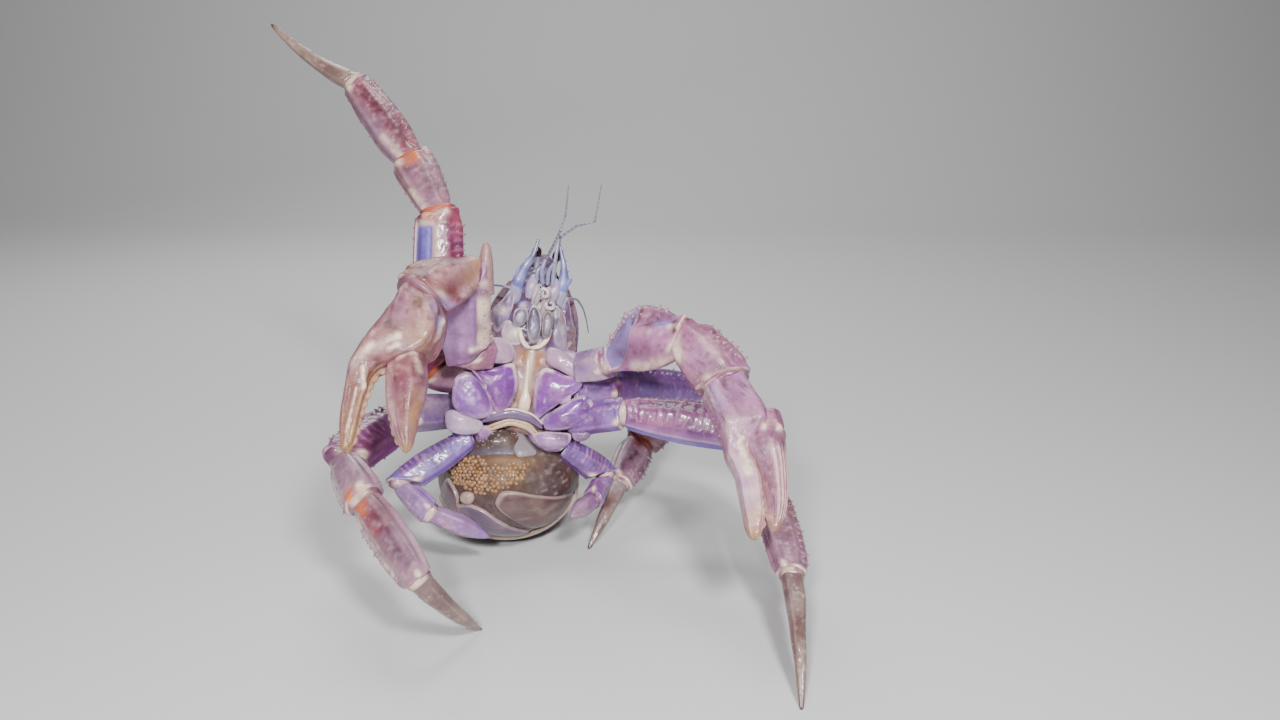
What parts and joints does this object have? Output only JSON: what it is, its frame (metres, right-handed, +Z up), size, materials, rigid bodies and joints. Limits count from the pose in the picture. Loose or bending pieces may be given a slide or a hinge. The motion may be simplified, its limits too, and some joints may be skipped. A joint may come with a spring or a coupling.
{
  "type": "coconut crab",
  "caption": "Life-size still model of a coconut crab sitting up on its folded tail, both claws hanging in front and one walking leg raised",
  "frame": {"origin": "middle of the footprint of the whole animal, on the ground it stands on", "axes": "+Z up; the belly faces -Y and the back faces +Y; +X is the crab's left, so its raised leg is at -X"},
  "size_m": [0.4678, 0.3838, 0.452],
  "materials": {
    "back_shield": "satin dark violet-brown shield of the back",
    "breast_cream": "satin cream and lilac breast and face",
    "claw_tip": "brown horny tips",
    "eye_dark": "glossy dark red-brown eyes",
    "feeler_grey": "thin grey and blue-violet feelers",
    "mouth_lilac": "satin pale lilac mouth limbs",
    "shell_hip": "satin violet hip plates with cream rims",
    "shell_mauve": "satin dusty mauve claw shell",
    "shell_violet": "satin violet leg shell with cream joints",
    "tail_plate": "satin taupe plates of the tail",
    "tail_taupe": "leathery grey-brown tail with ochre warts"
  },
  "bodies": {
    "root": {"antenna_left": "feeler_grey", "antenna_right": "feeler_grey", "antennule_left": "feeler_grey", "antennule_right": "feeler_grey", "carapace": "back_shield", "claw_left_carpus": "shell_mauve", "claw_left_coxa": "shell_hip", "claw_left_finger": "shell_mauve", "claw_left_ischium": "shell_violet", "claw_left_merus": "shell_mauve", "claw_left_palm": "shell_mauve", "claw_right_carpus": "shell_mauve", "claw_right_coxa": "shell_hip", "claw_right_finger": "shell_mauve", "claw_right_ischium": "shell_violet", "claw_right_merus": "shell_mauve", "claw_right_palm": "shell_mauve", "eye_left": "eye_dark", "eye_right": "eye_dark", "front_leg_left_carpus": "shell_violet", "front_leg_left_coxa": "shell_hip", "front_leg_left_dactyl": "claw_tip", "front_leg_left_ischium": "shell_violet", "front_leg_left_merus": "shell_violet", "front_leg_left_propodus": "shell_violet", "front_leg_right_carpus": "shell_violet", "front_leg_right_coxa": "shell_hip", "front_leg_right_dactyl": "claw_tip", "front_leg_right_ischium": "shell_violet", "front_leg_right_merus": "shell_violet", "front_leg_right_propodus": "shell_violet", "hind_leg_left_carpus": "shell_violet", "hind_leg_left_coxa": "shell_hip", "hind_leg_left_dactyl": "claw_tip", "hind_leg_left_ischium": "shell_violet", "hind_leg_left_merus": "shell_violet", "hind_leg_left_propodus": "shell_violet", "hind_leg_right_carpus": "shell_violet", "hind_leg_right_coxa": "shell_hip", "hind_leg_right_dactyl": "claw_tip", "hind_leg_right_ischium": "shell_violet", "hind_leg_right_merus": "shell_violet", "hind_leg_right_propodus": "shell_violet", "maxilliped_left": "mouth_lilac", "maxilliped_right": "mouth_lilac", "rear_leg_left_carpus": "shell_violet", "rear_leg_left_chela": "shell_violet", "rear_leg_left_coxa": "shell_hip", "rear_leg_left_merus": "shell_violet", "rear_leg_right_carpus": "shell_violet", "rear_leg_right_chela": "shell_violet", "rear_leg_right_coxa": "shell_hip", "rear_leg_right_merus": "shell_violet", "tail": "tail_taupe", "tail_belt_middle": "tail_plate", "tail_belt_under": "tail_plate", "tail_belt_upper": "tail_plate", "tail_fan_left": "tail_plate", "tail_fan_right": "tail_plate", "thorax": "breast_cream"}
  },
  "joints": []
}
